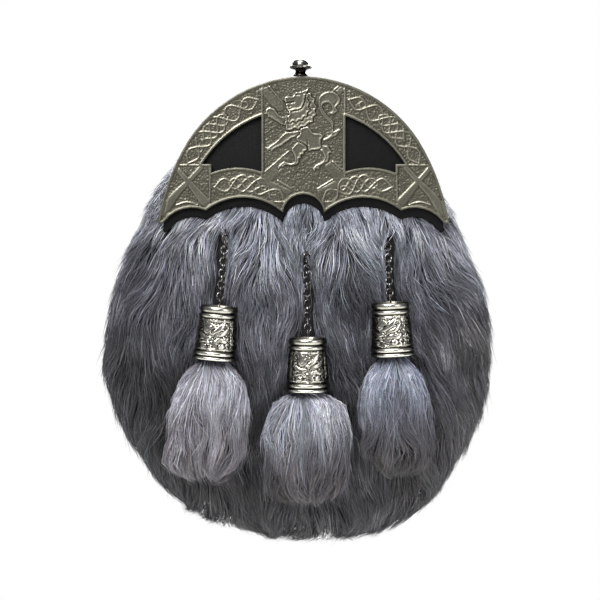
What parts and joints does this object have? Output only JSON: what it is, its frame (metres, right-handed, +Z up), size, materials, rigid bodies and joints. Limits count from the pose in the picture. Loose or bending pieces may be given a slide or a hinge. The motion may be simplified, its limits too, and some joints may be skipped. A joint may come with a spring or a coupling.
{
  "type": "dress sporran pouch",
  "caption": "Hollow fur-fronted dress sporran with a pierced cast metal cantle, a leather back with strap loops and a rear flap, and fur tassels hung from metal bells on chains.",
  "frame": {"origin": "where the sporran hangs: midway between the two strap loops, in the plane of the leather back's rear face", "axes": "+Z up, -Y the way that the front faces, +X to the right of someone looking at the front"},
  "size_m": [0.2086, 0.0682, 0.253],
  "materials": {
    "cast_pewter": "cast, antiqued and satin polished",
    "polished_chrome": "mirror polish",
    "dark_nickel": "bright dark plating",
    "silver_bell": "silver plate, antiqued in the embossing",
    "black_leather": "smooth, satin",
    "grey_fur": "deep soft fur, grey with charcoal",
    "tassel_fur": "soft fur, silver grey to charcoal"
  },
  "bodies": {
    "root": {"cantle": "cast_pewter", "cantle_backing": "black_leather", "knob": "polished_chrome", "fur_pouch": "grey_fur", "back_panel": "black_leather", "back_flap": "black_leather", "flap_stud": "dark_nickel", "strap_loop_left": "black_leather", "strap_loop_right": "black_leather", "chain_eye_left": "dark_nickel", "chain_left_01": "dark_nickel", "chain_left_02": "dark_nickel", "chain_left_03": "dark_nickel", "chain_left_04": "dark_nickel", "chain_left_05": "dark_nickel", "chain_left_06": "dark_nickel", "chain_left_07": "dark_nickel", "chain_left_08": "dark_nickel", "chain_left_09": "dark_nickel", "chain_left_10": "dark_nickel", "chain_left_11": "dark_nickel", "chain_left_12": "dark_nickel", "bell_left": "silver_bell", "fur_tassel_left": "tassel_fur", "chain_eye_middle": "dark_nickel", "chain_middle_01": "dark_nickel", "chain_middle_02": "dark_nickel", "chain_middle_03": "dark_nickel", "chain_middle_04": "dark_nickel", "chain_middle_05": "dark_nickel", "chain_middle_06": "dark_nickel", "chain_middle_07": "dark_nickel", "chain_middle_08": "dark_nickel", "chain_middle_09": "dark_nickel", "chain_middle_10": "dark_nickel", "chain_middle_11": "dark_nickel", "chain_middle_12": "dark_nickel", "chain_middle_13": "dark_nickel", "chain_middle_14": "dark_nickel", "chain_middle_15": "dark_nickel", "chain_middle_16": "dark_nickel", "chain_middle_17": "dark_nickel", "chain_middle_18": "dark_nickel", "bell_middle": "silver_bell", "fur_tassel_middle": "tassel_fur", "chain_eye_right": "dark_nickel", "chain_right_01": "dark_nickel", "chain_right_02": "dark_nickel", "chain_right_03": "dark_nickel", "chain_right_04": "dark_nickel", "chain_right_05": "dark_nickel", "chain_right_06": "dark_nickel", "chain_right_07": "dark_nickel", "chain_right_08": "dark_nickel", "chain_right_09": "dark_nickel", "chain_right_10": "dark_nickel", "bell_right": "silver_bell", "fur_tassel_right": "tassel_fur"}
  },
  "joints": []
}
